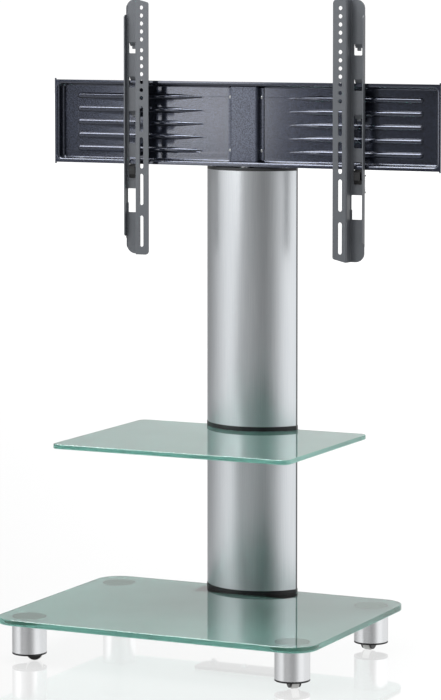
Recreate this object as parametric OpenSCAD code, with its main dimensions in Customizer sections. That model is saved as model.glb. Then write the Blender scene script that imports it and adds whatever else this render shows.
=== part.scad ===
// Television stand: a glass base on four castor feet, a bowed aluminium column with a
// glass shelf clamped half way up, and a steel tray that carries two sliding screen arms.
// Millimetres. X runs to the right, Y to the rear, Z up. The origin is on the floor,
// under the middle of the base.

/* [Base glass] */
// Width of the base glass
base_w = 600; // [540:10:660]
// Depth of the base glass
base_d = 450; // [430:10:500]
// Thickness of the base glass
base_t = 10; // [8:1:12]
// Corner radius of the base glass
base_corner_r = 45; // [30:5:60]
// Height of the ground bevel along the edges of both glasses
glass_bevel = 0.8; // [0.4:0.1:1.2]

/* [Shelf glass] */
// Width of the shelf glass
shelf_w = 450; // [380:10:520]
// Depth of the shelf glass
shelf_d = 350; // [320:10:380]
// Thickness of the shelf glass
shelf_t = 8; // [6:1:10]
// Corner radius of the shelf glass
shelf_corner_r = 14; // [10:2:40]
// Clear height between the base glass and the shelf glass
shelf_clear = 288; // [220:4:340]

/* [Feet] */
// Outside diameter of the foot sleeves
foot_d = 60; // [60:1:66]
// Height of the foot sleeves
foot_h = 54; // [50:1:64]
// Wall of the foot sleeves
foot_wall = 2; // [1.5:0.1:2.2]
// Height of the black rim under each sleeve
foot_rim_h = 2.5; // [2:0.5:4]
// Distance of the foot centres from the side edges of the base
foot_inset_x = 50; // [40:2:70]
// Distance of the foot centres from the front and rear edges of the base
foot_inset_y = 55; // [45:1:70]

/* [Castors] */
// Radius of the castor wheels
wheel_r = 15; // [13:0.5:15]
// Width of the castor wheels
wheel_w = 13; // [11:0.5:13.5]
// Distance of the axle behind the swivel axis
castor_trail = 9; // [6:0.5:9]
// How far the wheels reach below the rim of the foot
wheel_reach = 12; // [10:0.5:13]
// Radius of the swivel stem
stem_r = 4; // [3:0.5:5]
// Radius of the castor axle
axle_r = 2; // [1.5:0.25:2.5]

/* [Column] */
// Width of the column
column_w = 176; // [160:2:190]
// How far the front of the column bows out
column_bow = 52; // [48:1:58]
// Wall of the column extrusion
column_wall = 2.5; // [2:0.1:3]
// Depth of the rear covers
cover_d = 9; // [8:0.5:12]
// Wall of the rear covers
cover_wall = 1.8; // [1.4:0.1:2.2]
// Distance from the rear cover to the rear edge of the base
column_inset = 10; // [6:1:16]
// Height of the black collars that stand on the glasses
collar_h = 7.5; // [5:0.5:10]
// Height from the shelf glass to the top of the column cap
upper_h = 470; // [400:5:520]
// Thickness of the steel cap on the column
cap_t = 5; // [4:0.5:8]

/* [Mount tray] */
// Width of the steel tray
tray_w = 757; // [680:1:800]
// Height of the steel tray
tray_h = 151; // [145:1:160]
// Depth of the steel tray
tray_d = 20; // [19.5:0.5:24]
// Sheet thickness of the tray
tray_t = 2; // [1.5:0.1:2.2]
// Height of the flat rim around the tray
rim_h = 8; // [8:0.5:10]
// Height of one embossed rib
rib_h = 10.6; // [8:0.2:12]
// Distance from rib to rib
rib_pitch = 24; // [20:0.5:26]
// Length of the embossed ribs
rib_len = 258; // [200:2:270]
// Number of ribs on each half of the tray
rib_count = 5; // [3:1:5]
// Width of the centre channel
channel_w = 53; // [46:1:60]

/* [Screen arms] */
// Length of the arms
arm_len = 460; // [456:1:490]
// Sheet thickness of the arms
arm_t = 2; // [1.6:0.1:2.2]
// Depth of the arms from front to rear
arm_d = 20; // [18:0.5:24]
// Distance from the screw line to the free edge of the front flange
flange_out = 14; // [11:0.5:16]
// Distance from the screw line to the side face of the web
flange_in = 13; // [10:0.5:14]
// Width of the rear panel of the arm
panel_w = 27; // [26:0.5:28]
// Distance of the left screw line from the middle of the stand
arm_left_x = 191; // [150:1:240]
// Distance of the right screw line from the middle of the stand
arm_right_x = 198; // [150:1:240]
// Diameter of the screw holes
hole_d = 7.4; // [6.4:0.1:8.4]
// Distance from hole to hole
hole_pitch = 14.3; // [13:0.1:15]
// How far a latch slides down to let go
latch_travel = 6.5; // [5:0.1:6.5]

/* [Hidden] */
$fn = 72;

// Length by which a cutting body passes the faces that it cuts
over = 1;
// Gap between pieces that slide or turn past each other
slip = 0.3;
// Radial clearance of a pin in its bearing
running = 0.05;

// Heights, from the floor up
rim_z = wheel_reach;
sleeve_z = rim_z + foot_rim_h;
base_z = sleeve_z + foot_h;
base_top = base_z + base_t;
shelf_z = base_top + shelf_clear;
shelf_top = shelf_z + shelf_t;
cap_top = shelf_top + upper_h;
tray_gap = 2;
tray_z = cap_top + tray_gap;
tray_top = tray_z + tray_h;

// Plan of the column: an arc in front, a flat seam, and a rear cover behind the seam
column_rear = base_d / 2 - column_inset;
seam_y = column_rear - cover_d;
column_front = seam_y - column_bow;
column_half = column_w / 2;
column_r = (pow(column_half, 2) + pow(column_bow, 2)) / (2 * column_bow);
column_cy = column_front + column_r;
cover_corner_r = 3;
collar_proud = 0.6;

// Depth of the tray behind the front of the column
tray_setback = 12.5;
tray_front = column_front + tray_setback;
tray_back = tray_front + tray_d;
panel_face = tray_back - tray_t;

// Three threaded rods clamp the glasses between the column pieces
rod_r = 4;
rod_edge = 18;
rod_seam = 11;
rod_before_tray = 9.3;
rod_side_x = column_half - rod_edge;
rod_side_y = seam_y - rod_seam;
rod_front_y = tray_back - rod_before_tray;
rod_places = [[-rod_side_x, rod_side_y], [rod_side_x, rod_side_y], [0, rod_front_y]];
rod_hole_r = 5.5;
rod_spare = 3;
nut_flats = 13;
nut_h = 5;
nut_chamfer = 0.6;
washer_r = 8;
washer_t = 1.2;
gasket_t = 1.5;
clamp_w = 190;
clamp_d = 52;
clamp_t = 5;
clamp_corner_r = 8;
clamp_y = (rod_side_y + rod_front_y) / 2;

// Cable duct between the column and its rear cover, and the rails that hold the cover
duct_w = 100;
duct_recess = 14;
duct_notch_h = 26;
duct_notch_w = 60;
rail_edge = 10;
rail_x = column_half - rail_edge;
rail_w = 2;
rail_d = 4;
barb = 0.8;
duct_front = seam_y - duct_recess;
duct_back = column_rear - cover_wall - barb;

// Feet and castors
foot_r = foot_d / 2;
foot_x = base_w / 2 - foot_inset_x;
foot_y = base_d / 2 - foot_inset_y;
sleeve_bevel = 0.5;
disc_t = 6;
disc_slip = 0.1;
insert_wall = 1.5;
insert_r = foot_r - foot_wall - disc_slip;
insert_top = base_z - disc_t;
stem_len = 18;
socket_h = 20;
socket_z = insert_top - socket_h;
axle_z = wheel_r;
wheel_slip = 0.4;
tyre_t = 3;
tyre_round = 2.2;
wheel_bevel = 0.5;
cheek_t = 3;
cheek_low = 1.6;
cheek_r = wheel_r - cheek_low;
cheek_bevel = 0.8;
fork_half = wheel_w / 2 + wheel_slip + cheek_t;
hood_t = 1.5;
hood_gap = 1.2;
hood_r = wheel_r + hood_gap;
hood_rear = 6;
neck_w = 8;
ring_t = 3;
fork_top = socket_z - slip;
collar_ring_r = stem_r + 4;
axle_cap_r = 3;
axle_cap_t = 0.8;
// Swivel angle at which each castor stands
turn_fl = 25;
turn_fr = -50;
turn_rl = 200;
turn_rr = -93;

// Tray
tray_mid_z = tray_z + tray_h / 2;
rim_inner_r = 2.5;
rim_outer_r = rim_inner_r + tray_t;
floor_inner_r = 3.5;
floor_outer_r = floor_inner_r + tray_t;
tub_corner_r = 6;
ear_w = 2.5;
ear_h = 2.5;
rib_rise = 4.5;
rib_r = (pow(rib_h / 2, 2) + pow(rib_rise, 2)) / (2 * rib_rise);
rib_side_gap = 38.5;
rib_drop = 1.6;
rib_end_x = tray_w / 2 - rib_side_gap;

// Centre channel, head bracket and their fixings
channel_recess = 5;
channel_t = 2;
channel_flange = 8;
channel_bend_r = 3;
channel_end_gap = 1;
channel_front = tray_front + channel_recess;
rivet_r = 2.6;
rivet_head_h = 1.4;
rivet_shank_r = 1.5;
rivet_dz = 47.5;
bolt_r = 4;
bolt_head_r = 9;
bolt_head_h = 3.5;
bolt_head_gap = 0.5;
bolt_nut_h = 6.5;
bolt_x = channel_w / 2 - channel_t - bolt_head_r - bolt_head_gap;
bolt_dz = 42;
bracket_gap = 2;
bracket_w = 2 * (rod_side_x - washer_r - bracket_gap);
bracket_t = 3;
bracket_top_gap = 14;
bracket_corner_r = 14;

// Screen arms, drawn from the screw line outwards and from the front face to the rear
bend_in = 1;
bend_out = bend_in + arm_t;
arm_gap = slip;
arm_front = tray_front - arm_gap - arm_d;
arm_rise = 146.5;
arm_top = tray_top + arm_rise;
arm_z = arm_top - arm_len;
panel_out = flange_in + panel_w;
lip_d = 11;
lip_top = 28;
lip_bottom = 32;
lip_step = 1;
lip_chamfer = 3;
corner_big = 17;
corner_small = 7;
slope_r = 4;
end_slope = 5.8;
first_hole = 15;
group_gap = 19.4;
upper_holes = 5;
lower_holes = 7;
slot_first = (upper_holes + lower_holes - 2) * hole_pitch + group_gap;
slot_lead = 15;
slot_short = 46;
slot_long = 56.6;
slot_web = 9.5;
slot_web_wide = 18.8;
opening_w = 15.5;
opening_r = 1.5;
hook_relief = 0.9;
opening_side = 5.5;
panel_mid = flange_in + opening_side + opening_w / 2;
hook_pitch = 61.8;
hook_opening_h = 20;
hook_long_h = 59;
hook_w = opening_w - 2 * hook_relief;
hook_tip_w = 7;
hook_tip_bevel = 1.3;
hook_gap = tray_t + 2 * slip;
hook_rise = 7.2;
hook_drop = 5.2;
hook_t = 2;
window_w = panel_w - bend_in - bend_out;
window_h = 43;
window_step = 1.3;
window_step_share = 0.6;
window_below_tray = 44.6;
latch_opening_up = 13;
latch_opening_down = 26;

// Latch on the back of each arm
latch_w = 16;
latch_t = 2;
latch_foot = 41;
latch_shoulder = 1.2;
tongue_overlap = 3.6;
tongue_drop = 14;
tongue_step = tray_t + slip;
thumb_w = 12;
thumb_h = 14;
thumb_d = 7;
thumb_below = 18.5;
guide_r = 2;
guide_dx = 4.5;
guide_below = 35.5;
guide_head_r = 3.4;
guide_head_t = 1.2;
spring_side = 2.7;
spring_below = 11;
spring_x = panel_mid + latch_w / 2 + spring_side;
spring_r = 2;
wire_r = 0.35;
spring_turns = 8;
spring_room = 28;
spring_pin_r = 1.2;
spring_pin_h = 6;
lug_t = 2;
lug_w = 4.6;
rings_per_turn = 8;
wire_sides = 6;
spring_y = arm_d + slip + spring_r + wire_r;
spring_climb = spring_room - 2 * wire_r - 2 * slip;

// Points on an arc from one angle to another
function arc(cx, cy, r, from, to, steps = 5) =
    [for (i = [0:steps]) let (a = from + (to - from) * i / steps) [cx + r * cos(a), cy + r * sin(a)]];

// Plate with rounded corners, centred, from 0 up
module round_plate(w, d, t, r) {
    linear_extrude(t) round_outline(w, d, r);
}

module round_outline(w, d, r) {
    square([w - 2 * r, d], center = true);
    square([w, d - 2 * r], center = true);
    for (x = [-1, 1], y = [-1, 1]) translate([x * (w / 2 - r), y * (d / 2 - r)]) circle(r);
}

// Bevelled edge profile of a glass, from the middle out to the edge
function bevel_profile(half, t, b) =
    [[-half + b, 0], [half - b, 0], [half, b], [half, t - b], [half - b, t], [-half + b, t],
     [-half, t - b], [-half, b]];

// Glass plate with rounded corners and ground bevels
module glass_plate(w, d, t, r, b) {
    rotate([90, 0, 90]) linear_extrude(w - 2 * r, center = true) polygon(bevel_profile(d / 2, t, b));
    rotate([90, 0, 0]) linear_extrude(d - 2 * r, center = true) polygon(bevel_profile(w / 2, t, b));
    for (x = [-1, 1], y = [-1, 1]) translate([x * (w / 2 - r), y * (d / 2 - r), 0])
        rotate_extrude() polygon([[0, 0], [r - b, 0], [r, b], [r, t - b], [r - b, t], [0, t]]);
}

module rod_holes(z, h, r = rod_hole_r) {
    for (p = rod_places) translate([p[0], p[1], z]) cylinder(r = r, h = h);
}

// Slot that lets cables pass a plate inside the column footprint
module duct_slot(z, h, back = duct_back) {
    translate([-duct_w / 2, duct_front, z]) cube([duct_w, back - duct_front, h]);
}

module base_glass() {
    color("lightseagreen", 0.5) difference() {
        translate([0, 0, base_z]) glass_plate(base_w, base_d, base_t, base_corner_r, glass_bevel);
        rod_holes(base_z - over, base_t + 2 * over);
    }
}

// The shelf stands in front of the rear cover and has a cable notch in its rear edge
module shelf_glass() {
    shelf_rear = column_rear - cover_wall;
    color("lightseagreen", 0.5) difference() {
        translate([0, shelf_rear - shelf_d / 2, shelf_z])
            glass_plate(shelf_w, shelf_d, shelf_t, shelf_corner_r, glass_bevel);
        rod_holes(shelf_z - over, shelf_t + 2 * over);
        duct_slot(shelf_z - over, shelf_t + 2 * over, column_rear);
    }
}

module at_foot(sx, sy) {
    translate([sx * foot_x, sy * foot_y, 0]) children();
}

// Turned aluminium sleeve with a small bevel at both ends
module foot_sleeve() {
    inner = foot_r - foot_wall;
    top = base_z;
    color("silver") rotate_extrude() polygon([
        [inner, sleeve_z], [foot_r - sleeve_bevel, sleeve_z], [foot_r, sleeve_z + sleeve_bevel],
        [foot_r, top - sleeve_bevel], [foot_r - sleeve_bevel, top], [inner, top]]);
}

// Disc bonded to the underside of the glass, which centres the sleeve
module foot_disc() {
    color("dimgray") translate([0, 0, insert_top]) cylinder(r = insert_r, h = disc_t);
}

// Moulded insert: black rim, thin skirt inside the sleeve and the stem socket on top
module foot_insert() {
    inner = insert_r - insert_wall;
    color("black") rotate_extrude() polygon([
        [inner, rim_z], [foot_r, rim_z], [foot_r, sleeve_z], [insert_r, sleeve_z],
        [insert_r, insert_top], [stem_r + running, insert_top], [stem_r + running, socket_z],
        [inner, socket_z]]);
}

module castor(turn) {
    rotate([0, 0, turn]) children();
}

module along_axle() {
    translate([castor_trail, 0, axle_z]) rotate([90, 0, 0]) children();
}

// Swivel body: stem, ring under the socket, neck, and a hood with a cheek on each side of the wheel
module castor_fork(turn) {
    reach = collar_ring_r - slip;
    color("black") castor(turn) {
        difference() {
            union() {
                translate([0, 0, fork_top - ring_t]) cylinder(r = collar_ring_r, h = ring_t);
                translate([-reach, -neck_w / 2, axle_z + wheel_r])
                    cube([reach + castor_trail, neck_w, fork_top - axle_z - wheel_r]);
                intersection() {
                    along_axle() cylinder(r = hood_r + hood_t, h = 2 * fork_half, center = true);
                    translate([-reach, -fork_half, axle_z + wheel_r / 2])
                        cube([reach + castor_trail + hood_rear, 2 * fork_half, 2 * wheel_r]);
                }
                along_axle() for (s = [0, 1]) mirror([0, 0, s]) cheek();
            }
            along_axle() {
                cylinder(r = hood_r, h = wheel_w + 2 * wheel_slip, center = true);
                cylinder(r = axle_r, h = 2 * fork_half + over, center = true);
            }
            translate([0, 0, fork_top]) cylinder(r = foot_r, h = foot_h);
        }
        translate([0, 0, fork_top - ring_t]) cylinder(r = stem_r, h = ring_t + stem_len);
    }
}

// Round side of the fork, its outer edge bevelled, from the middle of the wheel outwards
module cheek() {
    rotate_extrude() polygon([[0, wheel_slip], [cheek_r, wheel_slip], [cheek_r, fork_half - cheek_bevel],
        [cheek_r - cheek_bevel, fork_half], [0, fork_half]]);
}

// Wheel core, solid, with a bevel at the bore
module castor_wheels(turn) {
    r = wheel_r - tyre_t;
    bore = axle_r + running;
    color("dimgray") castor(turn) along_axle() translate([0, 0, -wheel_w / 2]) rotate_extrude() polygon([
        [bore + wheel_bevel, 0], [r, 0], [r, wheel_w], [bore + wheel_bevel, wheel_w],
        [bore, wheel_w - wheel_bevel], [bore, wheel_bevel]]);
}

module castor_tyres(turn) {
    r = wheel_r - tyre_t;
    c = wheel_r - tyre_round;
    color("gray") castor(turn) along_axle() translate([0, 0, -wheel_w / 2]) rotate_extrude()
        polygon(concat([[r, 0]], arc(c, tyre_round, tyre_round, -90, 0, 4),
            arc(c, wheel_w - tyre_round, tyre_round, 0, 90, 4), [[r, wheel_w]]));
}

module castor_axle(turn) {
    half = fork_half;
    color("silver") castor(turn) along_axle() {
        cylinder(r = axle_r, h = 2 * half, center = true);
        for (s = [0, 1]) mirror([0, 0, s]) translate([0, 0, half]) cylinder(r = axle_cap_r, h = axle_cap_t);
    }
}

// Front part of the column plan, out to the seam
module front_plan(grow = 0) {
    intersection() {
        translate([0, column_cy]) circle(column_r + grow, $fn = 180);
        translate([-column_half - grow, column_front - grow])
            square([column_w + 2 * grow, column_bow + grow]);
    }
}

// Rear part of the column plan, from the seam to the back
module rear_plan(grow = 0) {
    r = cover_corner_r;
    w = column_w + 2 * grow;
    depth = cover_d + grow;
    translate([-w / 2, seam_y]) square([w, depth - r]);
    translate([-w / 2 + r, seam_y]) square([w - 2 * r, depth]);
    for (s = [-1, 1]) translate([s * (w / 2 - r), seam_y + depth - r]) circle(r);
}

module clip_rail(s) {
    translate([s * rail_x - rail_w / 2, seam_y - barb]) square([rail_w, rail_d + barb]);
    translate([s * rail_x - rail_w / 2 - barb, seam_y + rail_d - rail_w]) square([rail_w + 2 * barb, rail_w]);
}

// Plan of the cable duct that is recessed into the rear of the column
module duct_plan(grow = 0) {
    translate([-duct_w / 2 - grow, duct_front - grow]) square([duct_w + 2 * grow, duct_recess + grow + over]);
}

// Column extrusion: bowed wall, rear web with the duct, and two rails for the rear cover
module column_shell(z, h) {
    color("silver") translate([0, 0, z]) linear_extrude(h) {
        difference() {
            front_plan();
            difference() {
                intersection() {
                    translate([0, column_cy]) circle(column_r - column_wall, $fn = 180);
                    translate([-column_half, column_front]) square([column_w, column_bow - column_wall]);
                }
                duct_plan(column_wall);
            }
            duct_plan();
        }
        for (s = [-1, 1]) clip_rail(s);
    }
}

// Rear cover: flat channel with two ribs that grip the rails
module rear_cover(z, h, notch) {
    grip_x = rail_x - rail_w / 2 - barb - slip - rail_w;
    color("#44464c") difference() {
        translate([0, 0, z]) linear_extrude(h) {
            difference() {
                rear_plan();
                translate([-column_half + cover_wall, seam_y - over])
                    square([column_w - 2 * cover_wall, cover_d - cover_wall + over]);
            }
            for (s = [-1, 1]) translate([s * (grip_x + rail_w / 2) - rail_w / 2, seam_y + barb])
                square([rail_w, cover_d - barb - cover_wall / 2]);
        }
        if (notch) translate([-duct_notch_w / 2, seam_y + cover_d / 2, z - over])
            cube([duct_notch_w, cover_d, duct_notch_h + over]);
    }
}

lower_shell_z = base_top + collar_h;
lower_shell_h = shelf_clear - collar_h - gasket_t;
upper_shell_z = shelf_top + collar_h;
upper_shell_h = upper_h - collar_h - cap_t;

module lower_column() { column_shell(lower_shell_z, lower_shell_h); }
module upper_column() { column_shell(upper_shell_z, upper_shell_h); }
module lower_rear_cover() { rear_cover(lower_shell_z, lower_shell_h, true); }
module upper_rear_cover() { rear_cover(upper_shell_z, upper_shell_h, false); }

// Black collar under a column piece
module collar(z) {
    color("black") difference() {
        translate([0, 0, z]) linear_extrude(collar_h) {
            front_plan(collar_proud);
            rear_plan(collar_proud);
        }
        rod_holes(z - over, collar_h + 2 * over);
        duct_slot(z - over, collar_h + 2 * over);
    }
}

module lower_collar() { collar(base_top); }
module upper_collar() { collar(shelf_top); }

module shelf_gasket() {
    z = shelf_z - gasket_t;
    color("black") difference() {
        translate([0, 0, z]) linear_extrude(gasket_t) {
            front_plan();
            rear_plan();
        }
        rod_holes(z - over, gasket_t + 2 * over);
        duct_slot(z - over, gasket_t + 2 * over);
    }
}

module clamp_sheet(z, t) {
    difference() {
        translate([0, clamp_y, z]) round_plate(clamp_w, clamp_d, t, clamp_corner_r);
        rod_holes(z - over, t + 2 * over);
    }
}

clamp_z = base_z - gasket_t - clamp_t;

module base_gasket() { color("black") clamp_sheet(base_z - gasket_t, gasket_t); }
module clamp_plate() { color("#2b2c2e") clamp_sheet(clamp_z, clamp_t); }

module tie_rods() {
    low = clamp_z - washer_t - nut_h - rod_spare;
    high = cap_top + washer_t + nut_h;
    color("silver") for (p = rod_places) translate([p[0], p[1], low]) cylinder(r = rod_r, h = high - low);
}

// Hexagon nut with turned-off corners on a plain washer, seated at 0
module nut_and_washer(bore) {
    corner_r = nut_flats / sqrt(3);
    difference() {
        union() {
            cylinder(r = washer_r, h = washer_t);
            translate([0, 0, washer_t]) intersection() {
                cylinder(r = corner_r, h = nut_h, $fn = 6);
                rotate_extrude() polygon([[0, 0], [corner_r, 0], [corner_r, nut_h - nut_chamfer],
                    [nut_flats / 2, nut_h], [0, nut_h]]);
            }
        }
        translate([0, 0, -over]) cylinder(r = bore, h = nut_h + washer_t + 2 * over);
    }
}

module base_nuts() {
    color("silver") for (p = rod_places)
        translate([p[0], p[1], clamp_z]) mirror([0, 0, 1]) nut_and_washer(rod_r);
}

module head_nuts() {
    color("silver") for (p = rod_places) translate([p[0], p[1], cap_top]) nut_and_washer(rod_r);
}

module column_cap() {
    z = cap_top - cap_t;
    color("#2b2c2e") difference() {
        translate([0, 0, z]) linear_extrude(cap_t) {
            front_plan();
            rear_plan();
        }
        rod_holes(z - over, cap_t + 2 * over);
        duct_slot(z - over, cap_t + 2 * over);
    }
}

// Steel channel that rises behind the tray from the cap
module head_bracket() {
    top = tray_top - bracket_top_gap;
    h = top - cap_top;
    depth = seam_y - tray_back;
    color("#2b2c2e") difference() {
        translate([-bracket_w / 2, tray_back, cap_top]) cube([bracket_w, depth, h]);
        translate([-bracket_w / 2 + bracket_t, tray_back + bracket_t, cap_top + bracket_t])
            cube([bracket_w - 2 * bracket_t, depth, h]);
        translate([-duct_w / 2, tray_back + bracket_t, cap_top - over])
            cube([duct_w, depth, bracket_t + 2 * over]);
        for (s = [-1, 1]) translate([s * bracket_w / 2, seam_y, top]) rotate([0, 90, 0])
            cylinder(r = bracket_corner_r, h = 3 * bracket_t, center = true);
        at_bolts() cylinder(r = bolt_r, h = bracket_t + tray_t + 2 * over);
    }
}

// Places the fixing bolts, their axis from the front of the tray floor to the rear
module at_bolts() {
    for (x = [-bolt_x, bolt_x], z = [-bolt_dz, bolt_dz])
        translate([x, panel_face - over, tray_mid_z + z]) rotate([-90, 0, 0]) children();
}

// Mushroom head, seated at 0 and rising
module dome_head(r, h) {
    intersection() {
        cylinder(r = r, h = h);
        translate([0, 0, h - 2 * r]) sphere(2 * r);
    }
}

module mount_bolts() {
    shank = tray_t + bracket_t + bolt_nut_h + rod_spare;
    color("silver") at_bolts() translate([0, 0, over]) {
        cylinder(r = bolt_r, h = shank);
        mirror([0, 0, 1]) dome_head(bolt_head_r, bolt_head_h);
    }
}

module mount_nuts() {
    color("silver") at_bolts() translate([0, 0, over + tray_t + bracket_t]) difference() {
        cylinder(r = nut_flats / sqrt(3), h = bolt_nut_h, $fn = 6);
        translate([0, 0, -over]) cylinder(r = bolt_r, h = bolt_nut_h + 2 * over);
    }
}

// Half profile of a pressed tub: flared mouth at 0, straight wall, rounded floor
function tub_half(x, depth, flare, floor_r, lead) = concat(
    [[x + flare, -lead]], arc(x + flare, flare, flare, -90, -180, 6),
    arc(x - floor_r, depth - floor_r, floor_r, 0, 90, 6));

function mirrored(points) = [for (i = [len(points) - 1:-1:0]) [-points[i][0], points[i][1]]];

// Pressed tub, mouth at y 0 and floor towards +Y
module tub(w, h, depth, corner, flare, floor_r, lead) {
    wide = tub_half(w / 2, depth, flare, floor_r, lead);
    tall = tub_half(h / 2, depth, flare, floor_r, lead);
    round_part = tub_half(corner, depth, flare, floor_r, lead);
    linear_extrude(h - 2 * corner, center = true) polygon(concat(wide, mirrored(wide)));
    rotate([0, 90, 0]) linear_extrude(w - 2 * corner, center = true) polygon(concat(tall, mirrored(tall)));
    for (x = [-1, 1], z = [-1, 1]) translate([x * (w / 2 - corner), 0, z * (h / 2 - corner)])
        rotate([-90, 0, 0]) rotate_extrude() polygon(concat([[0, depth], [0, -lead]], round_part));
}

// One embossed rib, a bar with round ends
module rib(r, len) {
    rotate([0, 90, 0]) cylinder(r = r, h = len - 2 * r, center = true);
    for (s = [-1, 1]) translate([s * (len / 2 - r), 0, 0]) sphere(r);
}

module ribs(r, len) {
    y = panel_face + rib_r - rib_rise;
    low = tray_mid_z - rib_drop - (rib_count - 1) / 2 * rib_pitch;
    for (s = [-1, 1], i = [0:rib_count - 1])
        translate([s * (rib_end_x - rib_len / 2), y, low + i * rib_pitch]) rib(r, len);
}

// Pressed steel tray: flat rim with stop ears, deep tub and embossed ribs
module mount_tray() {
    inner_w = tray_w - 2 * rim_h;
    inner_h = tray_h - 2 * rim_h;
    color("#30323a") difference() {
        union() {
            translate([-tray_w / 2, tray_front, tray_z]) cube([tray_w, tray_t, tray_h]);
            for (s = [-1, 1]) translate([s * (tray_w - ear_w) / 2 - ear_w / 2, tray_front, tray_z - ear_h])
                cube([ear_w, tray_t, tray_h + 2 * ear_h]);
            translate([0, tray_front + tray_t, tray_mid_z])
                tub(inner_w + 2 * tray_t, inner_h + 2 * tray_t, tray_d - tray_t,
                    tub_corner_r + tray_t, rim_inner_r, floor_outer_r, tray_t / 2);
            intersection() {
                ribs(rib_r, rib_len);
                translate([-tray_w / 2, tray_front, tray_z]) cube([tray_w, tray_d - tray_t / 2, tray_h]);
            }
        }
        difference() {
            translate([0, tray_front, tray_mid_z])
                tub(inner_w, inner_h, tray_d - tray_t, tub_corner_r, rim_outer_r, floor_inner_r, over);
            ribs(rib_r, rib_len);
        }
        intersection() {
            ribs(rib_r - tray_t, rib_len - 2 * tray_t);
            translate([-tray_w / 2, tray_front, tray_z]) cube([tray_w, tray_d + over, tray_h]);
        }
        at_bolts() cylinder(r = bolt_r, h = tray_t + 2 * over);
        channel_rivet_places() cylinder(r = rivet_shank_r, h = 2 * (tray_t + over), center = true);
    }
}

module channel_rivet_places() {
    x = channel_w / 2 + channel_flange / 2;
    for (sx = [-1, 1], sz = [-1, 1]) translate([sx * x, panel_face, tray_mid_z + sz * rivet_dz])
        rotate([-90, 0, 0]) children();
}

// Right half of the plan of the hat-shaped centre channel, bends included
function hat_half(half, front, rear, t, r) = concat(
    arc(half - r, front + r, r, -90, 0, 4),
    [[half, rear - t], [half + channel_flange, rear - t], [half + channel_flange, rear], [half - t, rear]],
    arc(half - r, front + r, r - t, 0, -90, 4));

// Its flanges and the feet of its walls end short of the bends in the tray's floor
module centre_channel() {
    h = tray_h - 2 * rim_h - 2 * channel_end_gap;
    rear = panel_face;
    half = hat_half(channel_w / 2, channel_front, rear, channel_t, channel_bend_r);
    clear = 2 * (floor_inner_r - channel_end_gap);
    color("#7c7f8c") difference() {
        translate([0, 0, tray_mid_z - h / 2]) linear_extrude(h) polygon(concat(half, mirrored(half)));
        for (s = [-1, 1]) translate([0, rear, tray_mid_z + s * h / 2])
            cube([channel_w + 2 * (channel_flange + over), 2 * channel_t, clear], center = true);
        channel_rivet_places() cylinder(r = rivet_shank_r, h = 4 * channel_t, center = true);
    }
}

module channel_rivets() {
    color("#8c8f9c") channel_rivet_places() {
        translate([0, 0, -channel_t]) mirror([0, 0, 1]) dome_head(rivet_r, rivet_head_h);
        translate([0, 0, -channel_t - rivet_head_h / 2])
            cylinder(r = rivet_shank_r, h = channel_t + tray_t + rivet_head_h / 2);
    }
}

// Bent section of an arm, flange in front, web, rear panel and outer lip
function arm_section() = let (x1 = flange_in, x2 = panel_out, y2 = arm_d) concat(
    [[-flange_out, 0]],
    arc(x1 - bend_out, bend_out, bend_out, -90, 0),
    arc(x1 + bend_in, y2 - bend_out, bend_in, 180, 90),
    arc(x2 - bend_out, y2 - bend_out, bend_in, 90, 0),
    [[x2 - arm_t, y2 - lip_d], [x2, y2 - lip_d]],
    arc(x2 - bend_out, y2 - bend_out, bend_out, 0, 90),
    arc(x1 + bend_in, y2 - bend_out, bend_out, 90, 180),
    arc(x1 - bend_out, bend_out, bend_in, 0, -90),
    [[-flange_out, arm_t]]);

// Moves a shape drawn in the X and Z plane to stand upright, with its depth along +Y
module upright(y, depth) {
    translate([0, y + depth, 0]) rotate([90, 0, 0]) linear_extrude(depth) children();
}

function slot_lengths() = [slot_short, slot_long, slot_long, slot_long];
function slot_gaps() = [slot_lead, slot_web, slot_web, slot_web_wide];
function slot_top(i) = i == 0 ? slot_first + slot_gaps()[0]
    : slot_top(i - 1) + slot_lengths()[i - 1] + slot_gaps()[i];

// Screw holes and slots, measured down from the first hole
module screw_pattern() {
    r = hole_d / 2;
    group_2 = (upper_holes - 1) * hole_pitch + group_gap;
    for (i = [0:upper_holes - 1]) translate([0, -i * hole_pitch]) circle(r);
    for (i = [0:lower_holes - 1]) translate([0, -group_2 - i * hole_pitch]) circle(r);
    for (i = [0:3]) translate([0, -slot_top(i)]) slot(r, slot_lengths()[i]);
}

module slot(r, length) {
    translate([0, -r]) circle(r);
    translate([0, -length + r]) circle(r);
    translate([-r, -length + r]) square([2 * r, length - 2 * r]);
}

// Rectangle with rounded corners, hanging down from its top middle
module opening(w, h, r = opening_r) {
    translate([0, -h / 2]) round_outline(w, h, r);
}

// Openings in the rear panel, measured up from the lower edge of the tray
module panel_openings() {
    hook_top = tray_h + hook_rise;
    for (i = [0, 1]) translate([panel_mid, hook_top + i * hook_pitch]) opening(opening_w, hook_opening_h);
    translate([panel_mid, hook_top - hook_pitch]) opening(opening_w, hook_long_h);
    translate([panel_mid, latch_opening_up]) opening(opening_w, latch_opening_up + latch_opening_down);
    translate([flange_in + bend_in + window_w / 2, -window_below_tray]) difference() {
        opening(window_w, window_h);
        for (s = [0, 1]) mirror([s, 0]) translate([-window_w / 2, -window_h])
            square([window_step, window_h * (1 - window_step_share)]);
    }
}

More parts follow.
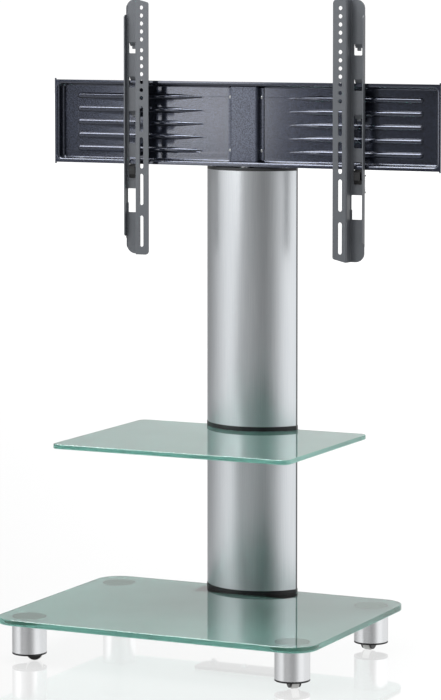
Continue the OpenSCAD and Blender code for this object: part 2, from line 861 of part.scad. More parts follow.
// Tongue that drops behind the rim of the tray, profile in depth and height, with a narrower tip
module hook_tongue() {
    y0 = arm_d - arm_t;
    y1 = arm_d + hook_gap;
    translate([panel_mid - hook_w / 2, 0, 0]) rotate([90, 0, 90]) linear_extrude(hook_w) polygon([
        [y0, hook_rise], [y1, 0], [y1 + hook_t, 0], [y1 + hook_t, hook_t / 2],
        [y0 + arm_t, hook_rise + hook_t], [y0, hook_rise + hook_t]]);
    translate([panel_mid - hook_tip_w / 2, 0, 0]) rotate([90, 0, 90]) linear_extrude(hook_tip_w) polygon([
        [y1, hook_t / 4], [y1, hook_tip_bevel - hook_drop], [y1 + hook_t, -hook_drop],
        [y1 + hook_t, hook_t / 4]]);
}

// Rounding at one end of the arm, cut from a blank; the end lies at z 0 and the arm below it
module end_cut(sloped) {
    big = corner_big;
    small = corner_small;
    w = panel_out - lip_step;
    upright(-over, arm_d + 2 * over) difference() {
        translate([w - big, -big]) square([big + lip_step + over, big + over]);
        translate([w - big, -big]) circle(big);
    }
    upright(arm_d - lip_d - over, lip_d + 2 * over)
        translate([w, -lip_top]) square([lip_step + over, lip_top + over]);
    if (sloped) {
        inner = flange_in - bend_out;
        lean = atan(end_slope / (inner + flange_out));
        cy = slope_r * tan(lean) - slope_r / cos(lean) - end_slope;
        upright(-over, arm_t + bend_in + over)
            polygon(concat([[-flange_out - over, over], [inner, over], [inner, 0]],
                arc(slope_r - flange_out, cy, slope_r, 90 + lean, 180), [[-flange_out - over, cy]]));
    } else {
        upright(-over, arm_t + 2 * over) difference() {
            translate([-flange_out - over, -small]) square([small + over, small + over]);
            translate([-flange_out + small, -small]) circle(small);
        }
    }
}

// Ends of the outer lip, cut back and chamfered
module lip_cut(length) {
    x = panel_out - arm_t - bend_in;
    y = arm_d - lip_d - over;
    depth = lip_d - bend_out + over;
    translate([x, y, -length]) cube([arm_t + bend_in + over, depth, length + over]);
    translate([x, 0, 0]) rotate([90, 0, 90]) linear_extrude(arm_t + bend_in + over)
        polygon([[y, -length - lip_chamfer - over], [y + over + lip_chamfer, -length],
            [y, -length]]);
}

// Blank arm with its lower end at z 0, screw line on the Z axis, web towards +X
module arm_blank(slope_top) {
    difference() {
        linear_extrude(arm_len) polygon(arm_section());
        translate([0, 0, arm_len]) {
            end_cut(slope_top);
            lip_cut(lip_top);
        }
        mirror([0, 0, 1]) {
            end_cut(!slope_top);
            lip_cut(lip_bottom);
        }
    }
}

tray_in_arm = tray_z - arm_z;

module arm(slope_top) {
    lug_z = tray_in_arm - spring_below - spring_room;
    color("#55575a") union() {
        difference() {
            arm_blank(slope_top);
            upright(-over, arm_t + 2 * over) translate([0, arm_len - first_hole]) screw_pattern();
            upright(arm_d - arm_t - over, arm_t + 2 * over) translate([0, tray_in_arm]) panel_openings();
            guide_places() cylinder(r = guide_r, h = 4 * arm_t, center = true);
        }
        for (i = [-1:1]) translate([0, 0, tray_in_arm + tray_h + i * hook_pitch]) hook_tongue();
        translate([spring_x - lug_w / 2, arm_d - arm_t / 2, lug_z - lug_t])
            cube([lug_w, arm_t / 2 + slip + 2 * (spring_r + wire_r), lug_t]);
        translate([spring_x, spring_y, lug_z - lug_t / 2]) cylinder(r = spring_pin_r, h = spring_pin_h);
    }
}

// Shoulder rivets that guide the latch, on the rear face of the panel
module guide_places() {
    for (s = [-1, 1]) translate([panel_mid + s * guide_dx, arm_d, tray_in_arm - guide_below])
        rotate([-90, 0, 0]) children();
}

module latch_rivets() {
    color("silver") guide_places() {
        translate([0, 0, -arm_t]) cylinder(r = guide_r, h = arm_t + latch_t + 2 * slip + guide_head_t / 2);
        translate([0, 0, latch_t + 2 * slip]) cylinder(r = guide_head_r, h = guide_head_t);
    }
}

// Sliding latch: slotted plate, stepped tongue behind the lower rim, thumb piece and spring lug
module latch() {
    y = arm_d + slip;
    low = tray_in_arm - latch_foot;
    lug_low = tray_in_arm - spring_below;
    high = tray_in_arm - latch_shoulder;
    tongue_low = tray_in_arm - tongue_drop;
    tongue_high = tray_in_arm + tongue_overlap;
    color("#18181a") {
        difference() {
            union() {
                translate([panel_mid - latch_w / 2, y, low]) cube([latch_w, latch_t, high - low]);
                translate([panel_mid - latch_w / 2, y, tongue_low])
                    cube([latch_w, tongue_step + latch_t, high - tongue_low]);
                translate([panel_mid - latch_w / 2, y + tongue_step, tongue_low])
                    cube([latch_w, latch_t, tongue_high - tongue_low]);
                translate([panel_mid - thumb_w / 2, y - thumb_d, tray_in_arm - thumb_below])
                    cube([thumb_w, thumb_d + latch_t / 2, thumb_h]);
                translate([panel_mid, y, lug_low])
                    cube([spring_x + lug_w / 2 - panel_mid, latch_t, lug_t]);
                translate([spring_x - lug_w / 2, y, lug_low]) cube([lug_w, 2 * (spring_r + wire_r), lug_t]);
            }
            for (s = [-1, 1]) translate([panel_mid + s * guide_dx, 0, tray_in_arm - guide_below])
                upright(y - over, latch_t + 2 * over) translate([0, latch_travel + 2 * slip + guide_r])
                    slot(guide_r + slip, latch_travel + 4 * slip + 2 * guide_r);
        }
        translate([spring_x, spring_y, lug_low - spring_pin_h / 2])
            cylinder(r = spring_pin_r, h = (spring_pin_h + lug_t) / 2);
    }
}

// Point of the spring's helix: ring i, at a distance r from the middle and dz above the wire's centre
function coil_point(i, r, dz) = let (a = i * 360 / rings_per_turn)
    [r * cos(a), r * sin(a), spring_climb * i / (spring_turns * rings_per_turn) + dz];

// Least gap between neighbouring turns of the spring, measured on the points of the wire's centre
spring_rings = spring_turns * rings_per_turn;
echo(spring_least_gap = min([for (i = [0:spring_rings - rings_per_turn])
    norm(coil_point(i + rings_per_turn, spring_r, 0) - coil_point(i, spring_r, 0)) - 2 * wire_r]));

// Coil spring under the latch lug: rings of points along a helix, joined into one tube
module latch_spring() {
    low = tray_in_arm - spring_below - spring_room + slip + wire_r;
    points = [for (i = [0:spring_rings], j = [0:wire_sides - 1]) let (b = j * 360 / wire_sides)
        coil_point(i, spring_r + wire_r * cos(b), wire_r * sin(b))];
    sides = [for (i = [0:spring_rings - 1], j = [0:wire_sides - 1], half = [0, 1]) let (
        k = (j + 1) % wire_sides, p = i * wire_sides, q = p + wire_sides)
        half == 0 ? [p + j, q + j, q + k] : [p + j, q + k, p + k]];
    last = spring_rings * wire_sides;
    ends = concat([for (j = [1:wire_sides - 2]) [0, j, j + 1]],
        [for (j = [1:wire_sides - 2]) [last, last + j + 1, last + j]]);
    color("silver") translate([spring_x, spring_y, low]) polyhedron(points, concat(sides, ends));
}

// Sets a piece drawn for the right arm in its place on the left or the right
module on_left() { translate([-arm_left_x, arm_front, arm_z]) mirror([1, 0, 0]) children(); }
module on_right() { translate([arm_right_x, arm_front, arm_z]) children(); }

base_glass();
shelf_glass();
at_foot(-1, -1) foot_sleeve();  // foot_sleeve_fl
at_foot(1, -1) foot_sleeve();  // foot_sleeve_fr
at_foot(-1, 1) foot_sleeve();  // foot_sleeve_rl
at_foot(1, 1) foot_sleeve();  // foot_sleeve_rr
at_foot(-1, -1) foot_disc();  // foot_disc_fl
at_foot(1, -1) foot_disc();  // foot_disc_fr
at_foot(-1, 1) foot_disc();  // foot_disc_rl
at_foot(1, 1) foot_disc();  // foot_disc_rr
at_foot(-1, -1) foot_insert();  // foot_insert_fl
at_foot(1, -1) foot_insert();  // foot_insert_fr
at_foot(-1, 1) foot_insert();  // foot_insert_rl
at_foot(1, 1) foot_insert();  // foot_insert_rr
at_foot(-1, -1) castor_fork(turn_fl);  // castor_fork_fl
at_foot(1, -1) castor_fork(turn_fr);  // castor_fork_fr
at_foot(-1, 1) castor_fork(turn_rl);  // castor_fork_rl
at_foot(1, 1) castor_fork(turn_rr);  // castor_fork_rr
at_foot(-1, -1) castor_wheels(turn_fl);  // castor_wheels_fl
at_foot(1, -1) castor_wheels(turn_fr);  // castor_wheels_fr
at_foot(-1, 1) castor_wheels(turn_rl);  // castor_wheels_rl
at_foot(1, 1) castor_wheels(turn_rr);  // castor_wheels_rr
at_foot(-1, -1) castor_tyres(turn_fl);  // castor_tyres_fl
at_foot(1, -1) castor_tyres(turn_fr);  // castor_tyres_fr
at_foot(-1, 1) castor_tyres(turn_rl);  // castor_tyres_rl
at_foot(1, 1) castor_tyres(turn_rr);  // castor_tyres_rr
at_foot(-1, -1) castor_axle(turn_fl);  // castor_axle_fl
at_foot(1, -1) castor_axle(turn_fr);  // castor_axle_fr
at_foot(-1, 1) castor_axle(turn_rl);  // castor_axle_rl
at_foot(1, 1) castor_axle(turn_rr);  // castor_axle_rr
lower_column();
upper_column();
lower_rear_cover();
upper_rear_cover();
lower_collar();
upper_collar();
shelf_gasket();
base_gasket();
clamp_plate();
tie_rods();
base_nuts();
head_nuts();
column_cap();
head_bracket();
mount_tray();
centre_channel();
channel_rivets();
mount_bolts();
mount_nuts();
on_left() arm(true);  // arm_left
on_right() arm(false);  // arm_right
on_left() latch();  // latch_left
on_right() latch();  // latch_right
on_left() latch_rivets();  // latch_rivets_left
on_right() latch_rivets();  // latch_rivets_right
on_left() latch_spring();  // latch_spring_left
on_right() latch_spring();  // latch_spring_right
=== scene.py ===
import math

import bpy
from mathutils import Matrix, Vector


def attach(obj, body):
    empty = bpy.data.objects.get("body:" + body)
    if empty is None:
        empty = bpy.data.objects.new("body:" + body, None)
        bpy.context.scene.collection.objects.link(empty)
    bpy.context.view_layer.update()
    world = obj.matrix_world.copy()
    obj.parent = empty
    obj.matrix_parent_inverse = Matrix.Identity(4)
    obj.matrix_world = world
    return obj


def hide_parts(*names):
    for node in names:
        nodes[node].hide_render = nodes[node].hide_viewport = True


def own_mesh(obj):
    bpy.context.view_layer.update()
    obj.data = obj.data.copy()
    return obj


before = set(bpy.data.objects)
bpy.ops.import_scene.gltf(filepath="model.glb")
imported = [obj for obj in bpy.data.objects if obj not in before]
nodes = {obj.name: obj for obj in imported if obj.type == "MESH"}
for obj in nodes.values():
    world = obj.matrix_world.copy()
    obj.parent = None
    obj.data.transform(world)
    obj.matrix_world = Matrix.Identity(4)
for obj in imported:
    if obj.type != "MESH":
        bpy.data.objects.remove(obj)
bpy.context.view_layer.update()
bpy.ops.object.select_all(action="DESELECT")

# Camera: a long lens in front and to the right of the stand, a little above it. It looks
# slightly down, and its lens is shifted so that uprights stay nearly upright. Sizes in this
# script are in millimetres, which MM turns into Blender's metres.
MM = 0.001
camera_place = (2346.2, -4852.8, 1158.6)
camera_yaw = 25.453
camera_pitch = 4.021
lens_mm = 160.215
sensor_mm = 36
lens_shift = -0.2
view_end_m = 100

camera_data = bpy.data.cameras.new("camera")
camera_data.lens = lens_mm
camera_data.sensor_width = sensor_mm
camera_data.shift_y = lens_shift
camera_data.clip_end = view_end_m
camera = bpy.data.objects.new("camera", camera_data)
bpy.context.scene.collection.objects.link(camera)
camera.location = Vector(camera_place) * MM
camera.rotation_euler = (math.radians(90 - camera_pitch), 0, math.radians(camera_yaw))
bpy.context.scene.camera = camera

# Studio: a white room over a white gloss floor. The room is dark behind the camera and bright
# at its left front and its right, which the column shows as upright bands. A large panel hangs
# above the stand, and a small one stands at the left front, level with the tray.
bpy.context.scene.view_settings.view_transform = "Standard"


def colour(hex_code):
    """An sRGB hex value as linear red, green, blue and alpha."""
    channels = [int(hex_code[i : i + 2], 16) / 255 for i in (0, 2, 4)]
    return [c / 12.92 if c <= 0.04045 else ((c + 0.055) / 1.055) ** 2.4 for c in channels] + [1]


def add(tree, kind, links=None, **settings):
    """A new node with its settings, and its inputs linked or set."""
    made = tree.nodes.new(kind)
    for name, value in settings.items():
        setattr(made, name, value)
    for key, value in (links or {}).items():
        if isinstance(value, bpy.types.NodeSocket):
            tree.links.new(value, made.inputs[key])
        else:
            made.inputs[key].default_value = value
    return made


def ramp_stops(ramp, stops):
    """Sets a colour ramp's stops from (place, grey or hex) pairs."""
    elements = ramp.color_ramp.elements
    while len(elements) > 1:
        elements.remove(elements[-1])
    for i, (place, value) in enumerate(stops):
        stop = elements[0] if i == 0 else elements.new(place)
        stop.position = place
        stop.color = colour(value) if isinstance(value, str) else (value, value, value, 1)


# Degrees around the room, from straight in front of the stand towards its right, and light.
room_bands = [
    (-180, 0.80), (-160, 0.80), (-140, 0.30), (-110, 0.26), (-86, 0.54), (-66, 0.90),
    (-50, 1.20), (-38, 1.15), (-30, 0.30), (-22, 0.16), (-12, 0.36), (8, 0.20),
    (26, 0.02), (40, 0.10), (56, 0.56), (68, 1.20), (95, 1.35), (108, 1.00),
    (150, 1.00), (180, 0.80),
]
# The room's height, from straight down at 0 to overhead at 1, and how far the plain light
# takes the place of the bands there.
plain_shares = [
    (0.0, 1.0), (0.34, 1.0), (0.39, 0.5), (0.42, 0.15), (0.45, 0.0), (0.66, 0.0), (0.85, 1.0),
]
plain_light = 0.80
backdrop_light = 1.05

world = bpy.data.worlds.new("studio_room")
bpy.context.scene.world = world
world.use_nodes = True
room = world.node_tree
room.nodes.clear()
direction = add(room, "ShaderNodeTexCoord").outputs["Generated"]
axes = add(room, "ShaderNodeSeparateXYZ", {"Vector": direction})
forward = add(room, "ShaderNodeMath", {0: axes.outputs["Y"], 1: -1.0}, operation="MULTIPLY")
around = add(
    room, "ShaderNodeMath", {0: axes.outputs["X"], 1: forward.outputs[0]}, operation="ARCTAN2"
)
turn = add(
    room,
    "ShaderNodeMapRange",
    {"Value": around.outputs[0], "From Min": -math.pi, "From Max": math.pi},
)
bands = add(room, "ShaderNodeValToRGB", {"Fac": turn.outputs["Result"]})
ramp_stops(bands, [((angle + 180) / 360, light) for angle, light in room_bands])
height = add(
    room, "ShaderNodeMapRange", {"Value": axes.outputs["Z"], "From Min": -1.0, "From Max": 1.0}
)
plain_share = add(room, "ShaderNodeValToRGB", {"Fac": height.outputs["Result"]})
ramp_stops(plain_share, plain_shares)
mixed = add(
    room,
    "ShaderNodeMix",
    {
        0: plain_share.outputs["Color"],
        6: bands.outputs["Color"],
        7: (plain_light, plain_light, plain_light, 1),
    },
    data_type="RGBA",
)
room_light = add(room, "ShaderNodeBackground", {"Color": mixed.outputs[2], "Strength": 1.0})
# Behind the stand the camera sees a plain white backdrop in place of the room.
backdrop = add(
    room, "ShaderNodeBackground", {"Color": colour("FFFFFF"), "Strength": backdrop_light}
)
seen = add(room, "ShaderNodeLightPath").outputs["Is Camera Ray"]
both = add(
    room, "ShaderNodeMixShader", {0: seen, 1: room_light.outputs[0], 2: backdrop.outputs[0]}
)
add(room, "ShaderNodeOutputWorld", {"Surface": both.outputs[0]})

# The floor mirrors the stand, and glows so that it stays as white as the backdrop. It is left
# out of what the pieces mirror, and they show the room's plain light below the horizon.
floor_radius_m = 30
floor_sides = 96
floor_tone = "444444"
floor_roughness = 0.04
floor_gloss = 0.8
floor_glow = 0.70

bpy.ops.mesh.primitive_circle_add(
    vertices=floor_sides, radius=floor_radius_m, fill_type="NGON", location=(0, 0, 0)
)
floor = bpy.context.object
floor.name = "floor"
floor.visible_glossy = False
floor_paint = bpy.data.materials.new("white_gloss_floor")
floor_paint.use_nodes = True
surface = floor_paint.node_tree.nodes["Principled BSDF"]
surface.inputs["Base Color"].default_value = colour(floor_tone)
surface.inputs["Roughness"].default_value = floor_roughness
surface.inputs["Specular IOR Level"].default_value = floor_gloss
surface.inputs["Emission Color"].default_value = colour("FFFFFF")
surface.inputs["Emission Strength"].default_value = floor_glow
floor.data.materials.append(floor_paint)

# Each panel's place, its size across and down, its watts, and the point that it faces. The
# small one stands high and narrow enough for the tray to mirror it and the column not.
panels = {
    "overhead_panel": ((-700, -600, 2700), (2000, 1700), 95, (0, 100, 700)),
    "left_front_panel": ((-1110, -1940, 1090), (330, 750), 3.4, (0, 170, 800)),
}
for name, (place, size, watts, target) in panels.items():
    panel = bpy.data.lights.new(name, "AREA")
    panel.shape = "RECTANGLE"
    panel.size, panel.size_y = size[0] * MM, size[1] * MM
    panel.energy = watts
    holder = bpy.data.objects.new(name, panel)
    bpy.context.scene.collection.objects.link(holder)
    holder.location = Vector(place) * MM
    aim = Vector(target) * MM - holder.location
    holder.rotation_euler = aim.to_track_quat("-Z", "Y").to_euler()


# Glass: a base plate and a shelf of toughened float glass, each clamped at the column. Both
# are glossy on top and satin-etched below, so that what touches the underside shows through.
# The ground edges gather the green of the glass.
base_glass_low = 68.5
shelf_glass_low = 366.5
# Heights above the underside between which the etching sets in.
etch_starts, etch_full = 1.5, 0.5
top_roughness, etched_roughness = 0.02, 0.9
top_clear, etched_clear = 1.0, 0.28
# A face has the body's tone while its normal is more upright than the first value, and the
# edge's tone below the second.
plate_upright, edge_upright = 0.9, 0.5
body_tones = ("A8C9C2", "B0CFC9")
edge_tone = "7DC4B5"
# The body's tone drifts this slowly across a plate.
drift_mm = 1000 / 6
# A clear coat lifts the reflections to the strength that the real plates show.
polish = 0.45
polish_roughness = 0.02


def paint(material, names):
    """Gives CAD nodes one material."""
    for name in names:
        slots = nodes[name].data.materials
        slots.clear()
        slots.append(material)


def new_material(name):
    """An empty node material and its tree."""
    made = bpy.data.materials.new(name)
    made.use_nodes = True
    made.node_tree.nodes.clear()
    return made, made.node_tree


def plate_glass(name, low):
    """The glass of one plate, whose underside lies at a height of low."""
    made, tree = new_material(name)
    spot = add(tree, "ShaderNodeTexCoord")
    facing = add(tree, "ShaderNodeSeparateXYZ", {"Vector": spot.outputs["Normal"]})
    flat = add(tree, "ShaderNodeMath", {0: facing.outputs["Z"]}, operation="ABSOLUTE")
    edge = add(
        tree,
        "ShaderNodeMapRange",
        {"Value": flat.outputs[0], "From Min": plate_upright, "From Max": edge_upright},
    )
    place = add(tree, "ShaderNodeSeparateXYZ", {"Vector": spot.outputs["Object"]})
    etched = add(
        tree,
        "ShaderNodeMapRange",
        {
            "Value": place.outputs["Z"],
            "From Min": (low + etch_starts) * MM,
            "From Max": (low + etch_full) * MM,
        },
    )
    rough = add(
        tree,
        "ShaderNodeMapRange",
        {"Value": etched.outputs["Result"], "To Min": top_roughness, "To Max": etched_roughness},
    )
    clear = add(
        tree,
        "ShaderNodeMapRange",
        {"Value": etched.outputs["Result"], "To Min": top_clear, "To Max": etched_clear},
    )
    drift = add(
        tree,
        "ShaderNodeTexNoise",
        {
            "Vector": spot.outputs["Object"],
            "Scale": 1 / (drift_mm * MM),
            "Detail": 3.0,
            "Roughness": 0.5,
        },
    )
    body = add(tree, "ShaderNodeValToRGB", {"Fac": drift.outputs["Fac"]})
    ramp_stops(body, [(0.35, body_tones[0]), (0.65, body_tones[1])])
    tint = add(
        tree,
        "ShaderNodeMix",
        {0: edge.outputs["Result"], 6: body.outputs["Color"], 7: colour(edge_tone)},
        data_type="RGBA",
    )
    shader = add(
        tree,
        "ShaderNodeBsdfPrincipled",
        {
            "Base Color": tint.outputs[2],
            "Roughness": rough.outputs["Result"],
            "Transmission Weight": clear.outputs["Result"],
            "IOR": 1.52,
            "Coat Weight": polish,
            "Coat Roughness": polish_roughness,
        },
    )
    add(tree, "ShaderNodeOutputMaterial", {"Surface": shader.outputs[0]})
    return made


paint(plate_glass("toughened_base_glass", base_glass_low), ["base_glass"])
paint(plate_glass("toughened_shelf_glass", shelf_glass_low), ["shelf_glass"])


# Column: two lengths of bowed aluminium extrusion, brushed lengthwise and anodised, held
# between the glasses and the cap by threaded rods. The anodised face shows the room as soft
# upright bands, with a faint grain, drawn coarser than real brushing so that it shows.
def aluminium(name, dark, light, roughness, grain_mm, squeeze):
    """Anodised aluminium. A squeeze below 1 draws the grain upright, one above 1 into rings."""
    spread = 0.035
    made, tree = new_material(name)
    spot = add(tree, "ShaderNodeTexCoord").outputs["Object"]
    drawn = add(tree, "ShaderNodeMapping", {"Vector": spot, "Scale": (1.0, 1.0, squeeze)})
    grain = add(
        tree,
        "ShaderNodeTexNoise",
        {"Vector": drawn.outputs[0], "Scale": 1 / (grain_mm * MM), "Detail": 2.0},
    )
    tone = add(tree, "ShaderNodeValToRGB", {"Fac": grain.outputs["Fac"]})
    ramp_stops(tone, [(0.3, dark), (0.7, light)])
    rough = add(
        tree,
        "ShaderNodeMapRange",
        {
            "Value": grain.outputs["Fac"],
            "To Min": roughness - spread,
            "To Max": roughness + spread,
        },
    )
    shader = add(
        tree,
        "ShaderNodeBsdfPrincipled",
        {
            "Base Color": tone.outputs["Color"],
            "Metallic": 1.0,
            "Roughness": rough.outputs["Result"],
        },
    )
    add(tree, "ShaderNodeOutputMaterial", {"Surface": shader.outputs[0]})
    return made


anodised = aluminium(
    "anodised_aluminium_extrusion",
    dark="D0D4D8",
    light="DADDE0",
    roughness=0.335,
    grain_mm=0.8,
    squeeze=0.01,
)
paint(anodised, ["lower_column", "upper_column"])

# Foot sleeves: rings of turned aluminium tube, pressed over the foot inserts. Turning leaves
# them smoother before the anodising. Their tones are set lighter than the column's as painted
# light, for a highlight that the studio light does not give them.
corners = ("fl", "fr", "rl", "rr")
# Painted light: the lighter tones stand in for a highlight on the sleeves.
sleeve_aluminium_painted_light = aluminium(
    "turned_aluminium_painted_highlight",
    dark="E2E4E6",
    light="ECEDEF",
    roughness=0.27,
    grain_mm=0.8,
    squeeze=6.0,
)
paint(sleeve_aluminium_painted_light, ["foot_sleeve_" + c for c in corners])


# Rear covers: extruded plastic channels in dark grey, which clip over the open back of the
# column. The extrusion leaves them satin, with a faint grain. As on the pieces that follow,
# the grain is drawn coarser than the real one, which is too fine to show.
def coated(name, dark, light, roughness, peel_mm, depth_mm, metallic=0.0):
    """A surface with a fine grain: two tones, a roughness around one value, a shallow bump."""
    spread = 0.05
    made, tree = new_material(name)
    spot = add(tree, "ShaderNodeTexCoord").outputs["Object"]
    peel = add(
        tree,
        "ShaderNodeTexNoise",
        {"Vector": spot, "Scale": 1 / (peel_mm * MM), "Detail": 2.0, "Roughness": 0.6},
    )
    tone = add(tree, "ShaderNodeValToRGB", {"Fac": peel.outputs["Fac"]})
    ramp_stops(tone, [(0.3, dark), (0.7, light)])
    rough = add(
        tree,
        "ShaderNodeMapRange",
        {
            "Value": peel.outputs["Fac"],
            "To Min": roughness - spread,
            "To Max": roughness + spread,
        },
    )
    bump = add(
        tree,
        "ShaderNodeBump",
        {"Height": peel.outputs["Fac"], "Strength": 0.5, "Distance": depth_mm * MM},
    )
    shader = add(
        tree,
        "ShaderNodeBsdfPrincipled",
        {
            "Base Color": tone.outputs["Color"],
            "Metallic": metallic,
            "Roughness": rough.outputs["Result"],
            "Normal": bump.outputs[0],
        },
    )
    add(tree, "ShaderNodeOutputMaterial", {"Surface": shader.outputs[0]})
    return made


cover_skin = coated(
    "extruded_abs_dark_grey",
    dark="43454B",
    light="4A4C53",
    roughness=0.42,
    peel_mm=0.9,
    depth_mm=0.01,
)
paint(cover_skin, ["lower_rear_cover", "upper_rear_cover"])

# Collars and foot inserts: moulded black ABS. The collars close the joint between column and
# glass, and each insert holds its castor's stem inside the sleeve. Moulding leaves a low gloss.
black_abs = coated(
    "moulded_abs_black",
    dark="151516",
    light="1B1B1D",
    roughness=0.36,
    peel_mm=0.6,
    depth_mm=0.01,
)
paint(black_abs, ["lower_collar", "upper_collar"] + ["foot_insert_" + c for c in corners])

# Gaskets: cut sheets that keep metal off the glass. The one under the shelf is matt black
# rubber. The one under the base is milky silicone, so no dark outline shows through the glass.
rubber = coated(
    "die_cut_rubber_black",
    dark="121212",
    light="191919",
    roughness=0.7,
    peel_mm=0.8,
    depth_mm=0.02,
)
paint(rubber, ["shelf_gasket"])
silicone = coated(
    "milky_silicone_sheet",
    dark="D2DAD7",
    light="DCE3E0",
    roughness=0.5,
    peel_mm=0.8,
    depth_mm=0.02,
)
paint(silicone, ["base_gasket"])

# Foot discs: turned discs of pale alloy, bonded under the base glass to centre the sleeves.
# Hardly any rendered light gets through the etched glass to them, so their tone is set greener
# and lighter, and they glow faintly: both are painted light, set to how they look through it.
painted_disc_glow_tone = "A8CFC4"
painted_disc_glow = 0.16
disc_alloy_painted_light = coated(
    "pale_alloy_painted_light",
    dark="B4DBD0",
    light="C2E6DC",
    roughness=0.45,
    peel_mm=1.2,
    depth_mm=0.01,
)
# Painted light: a faint glow of the discs' own, in their green tone.
disc_shader = disc_alloy_painted_light.node_tree.nodes["Principled BSDF"]
disc_shader.inputs["Emission Color"].default_value = colour(painted_disc_glow_tone)
disc_shader.inputs["Emission Strength"].default_value = painted_disc_glow
paint(disc_alloy_painted_light, ["foot_disc_" + c for c in corners])

# Castors: a moulded black nylon fork and wheel, with a soft light grey tread around the wheel.
# The nylon is smooth and a little glossy. The fork's stem turns in the foot insert.
nylon = coated(
    "moulded_nylon_black",
    dark="121213",
    light="19191A",
    roughness=0.3,
    peel_mm=0.5,
    depth_mm=0.008,
)
paint(nylon, ["castor_fork_" + c for c in corners] + ["castor_wheels_" + c for c in corners])
tread = coated(
    "soft_grey_tread",
    dark="B2B2B0",
    light="C4C4C2",
    roughness=0.35,
    peel_mm=0.8,
    depth_mm=0.02,
)
paint(tread, ["castor_tyres_" + c for c in corners])

# Rods, nuts, bolts, rivets and axles: turned and cold-formed steel with a bright zinc plate,
# which gives a smooth blue-white metal.
zinc = coated(
    "zinc_plated_steel",
    dark="B4B7B9",
    light="C6C8C9",
    roughness=0.28,
    peel_mm=0.7,
    depth_mm=0.005,
    metallic=1.0,
)
paint(
    zinc,
    ["tie_rods", "base_nuts", "head_nuts", "mount_bolts", "mount_nuts", "channel_rivets"]
    + ["castor_axle_" + c for c in corners],
)

# Clamp plate, cap and head bracket: cut and folded steel with a black powder coat. The plate
# lies under the base glass, and the bracket joins the cap to the tray. The coat is half matt.
black_coat = coated(
    "powder_coat_black",
    dark="1D1E20",
    light="26272A",
    roughness=0.42,
    peel_mm=0.7,
    depth_mm=0.02,
)
paint(black_coat, ["clamp_plate", "column_cap", "head_bracket"])

# Tray: a tub drawn from sheet steel and bolted to the head bracket, here the CAD mesh with its
# ten ribs run out to a point towards the middle, as the press leaves them. Its dark metallic
# powder coat is glossy and a little wavy, and sparkles slightly under a clear layer.
rib_heights = (872.4, 896.4, 920.4, 944.4, 968.4)
rib_half = 5.4
rib_reach = 5.4
rib_inner_end = 82
rib_run_out = 64
run_out_steps = 9
end_slack = 0.02
point_width = 0.25
sheet_front, sheet_back = 184.5, 186.5
merge_gap = 0.01
tray_smooth_angle = 32
# Real flakes are too fine to show, so they are drawn this coarse.
flake_mm = 1.4
wave_mm = 3.0
wave_depth_mm = 0.02


def flaked(name, dark, light, roughness, gloss):
    """A metallic powder coat: dark and light flakes under a clear layer."""
    spread = 0.04
    made, tree = new_material(name)
    spot = add(tree, "ShaderNodeTexCoord").outputs["Object"]
    flakes = add(
        tree,
        "ShaderNodeTexNoise",
        {"Vector": spot, "Scale": 1 / (flake_mm * MM), "Detail": 1.0, "Roughness": 0.4},
    )
    tone = add(tree, "ShaderNodeValToRGB", {"Fac": flakes.outputs["Fac"]})
    ramp_stops(tone, [(0.38, dark), (0.62, light)])
    waves = add(
        tree,
        "ShaderNodeTexNoise",
        {"Vector": spot, "Scale": 1 / (wave_mm * MM), "Detail": 2.0},
    )
    bump = add(
        tree,
        "ShaderNodeBump",
        {"Height": waves.outputs["Fac"], "Strength": 0.3, "Distance": wave_depth_mm * MM},
    )
    rough = add(
        tree,
        "ShaderNodeMapRange",
        {
            "Value": flakes.outputs["Fac"],
            "To Min": roughness - spread,
            "To Max": roughness + spread,
        },
    )
    shader = add(
        tree,
        "ShaderNodeBsdfPrincipled",
        {
            "Base Color": tone.outputs["Color"],
            "Metallic": 0.85,
            "Roughness": rough.outputs["Result"],
            "Normal": bump.outputs[0],
            "Coat Weight": gloss,
            "Coat Roughness": 0.12,
        },
    )
    add(tree, "ShaderNodeOutputMaterial", {"Surface": shader.outputs[0]})
    return made


tray_coat = flaked(
    "powder_coat_metallic_dark", dark="20232C", light="3E4455", roughness=0.22, gloss=1.0
)
tray = bpy.data.objects.new("tray_pressing", nodes["mount_tray"].data.copy())
bpy.context.scene.collection.objects.link(tray)
bpy.context.view_layer.objects.active = tray
tray.select_set(True)
bpy.ops.object.mode_set(mode="EDIT")
bpy.ops.mesh.select_all(action="SELECT")
bpy.ops.mesh.remove_doubles(threshold=merge_gap * MM)
# Cuts across the ribs give them points along their run-out.
for side in (-1, 1):
    for step in range(1, run_out_steps + 1):
        cut = side * (rib_inner_end + rib_run_out * step / run_out_steps) * MM
        bpy.ops.mesh.select_all(action="SELECT")
        bpy.ops.mesh.bisect(plane_co=(cut, 0, 0), plane_no=(1, 0, 0))
bpy.ops.object.mode_set(mode="OBJECT")
# Operators would need a resize for each cut, rib by rib, and apart for the sheet's two faces.
# So the points are moved in code: the nearer to the inner end, the closer to the sheet's face
# and to the rib's middle line. The normals are read before any point moves, because a read
# after a move renews them all.
in_front = [vertex.normal.y < 0 for vertex in tray.data.vertices]
for vertex, front in zip(tray.data.vertices, in_front):
    x, y, z = vertex.co / MM
    middle = min(rib_heights, key=lambda rib: abs(z - rib))
    along = (abs(x) - rib_inner_end) / rib_run_out
    if -end_slack < along < 1 and abs(z - middle) < rib_half and y > sheet_front - rib_reach:
        share = min(max(along, 0), 1)
        share = share * share * (3 - 2 * share)
        face = sheet_front if front else sheet_back
        width = point_width + (1 - point_width) * share
        vertex.co = Vector((x, face + (y - face) * share, middle + (z - middle) * width)) * MM
bpy.ops.object.shade_smooth_by_angle(angle=math.radians(tray_smooth_angle))
weighting = tray.modifiers.new("weighting", "WEIGHTED_NORMAL")
weighting.keep_sharp = True
bpy.ops.object.modifier_apply(modifier="weighting")
tray.data.materials.clear()
tray.data.materials.append(tray_coat)
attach(tray, "stand")
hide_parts("mount_tray")
tray.select_set(False)
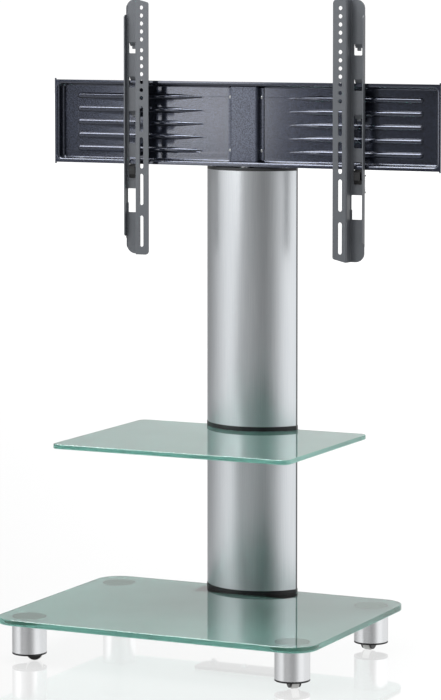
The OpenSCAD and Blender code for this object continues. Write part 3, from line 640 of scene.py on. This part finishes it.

# Centre channel: folded steel, riveted upright into the middle of the tray, in the tray's
# metallic powder coat. Its tones are set lighter than the tray's as painted light, for the light
# it shows in the middle of the tray; the coat is drawn rougher, so its flakes show more.
channel_coat_painted_light = flaked(
    "powder_coat_metallic_painted_light", dark="3A3E4A", light="5B6172", roughness=0.36, gloss=0.4
)
paint(channel_coat_painted_light, ["centre_channel"])

# Screen arms: folded steel with a dark grey powder coat, half matt and slightly rippled. They
# hook over the tray's rim. The guide rivets of their latches are coated with them.
arm_coat = coated(
    "powder_coat_dark_grey",
    dark="4C4F53",
    light="5A5D62",
    roughness=0.36,
    peel_mm=0.7,
    depth_mm=0.015,
)
paint(arm_coat, ["arm_left", "arm_right", "latch_rivets_left", "latch_rivets_right"])

# Latches: black moulded nylon, with a matt skin that gives a thumb some grip. Each slides on
# two guide rivets behind its arm's rear panel.
latch_nylon = coated(
    "moulded_nylon_matt",
    dark="141415",
    light="1D1D1F",
    roughness=0.5,
    peel_mm=0.5,
    depth_mm=0.01,
)
paint(latch_nylon, ["latch_left", "latch_right"])

# Latch springs: round zinc-plated spring wire, wound in eight turns, between a lug on the arm
# and a lug on the latch.
wire_r = 0.35
wire_sides = 12
coil_r = 2.0
coil_turns = 8
steps_per_turn = 24
coil_places = {"left": -227.95, "right": 234.95}
coil_y = 168.85
coil_low, coil_high = 807.85, 835.15
wire_smooth_angle = 40

for side, coil_x in coil_places.items():
    bpy.ops.mesh.primitive_circle_add(
        vertices=wire_sides,
        radius=wire_r * MM,
        location=(coil_r * MM, 0, 0),
        rotation=(math.pi / 2, 0, 0),
    )
    spring = bpy.context.object
    spring.name = "spring_coil_" + side
    bpy.ops.object.transform_apply(location=True, rotation=True, scale=True)
    winding = spring.modifiers.new("winding", "SCREW")
    winding.axis = "Z"
    winding.screw_offset = (coil_high - coil_low - 2 * wire_r) / coil_turns * MM
    winding.iterations = coil_turns
    winding.steps = winding.render_steps = steps_per_turn
    bpy.ops.object.modifier_apply(modifier="winding")
    bpy.ops.object.mode_set(mode="EDIT")
    bpy.ops.mesh.select_all(action="SELECT")
    bpy.ops.mesh.fill_holes(sides=0)
    bpy.ops.mesh.select_all(action="SELECT")
    bpy.ops.mesh.normals_make_consistent(inside=False)
    bpy.ops.transform.translate(value=(coil_x * MM, coil_y * MM, (coil_low + wire_r) * MM))
    bpy.ops.object.mode_set(mode="OBJECT")
    bpy.ops.object.shade_smooth_by_angle(angle=math.radians(wire_smooth_angle))
    spring.data.materials.append(zinc)
    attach(spring, "arm_" + side)
    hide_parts("latch_spring_" + side)
    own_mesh(spring)
    spring.select_set(False)
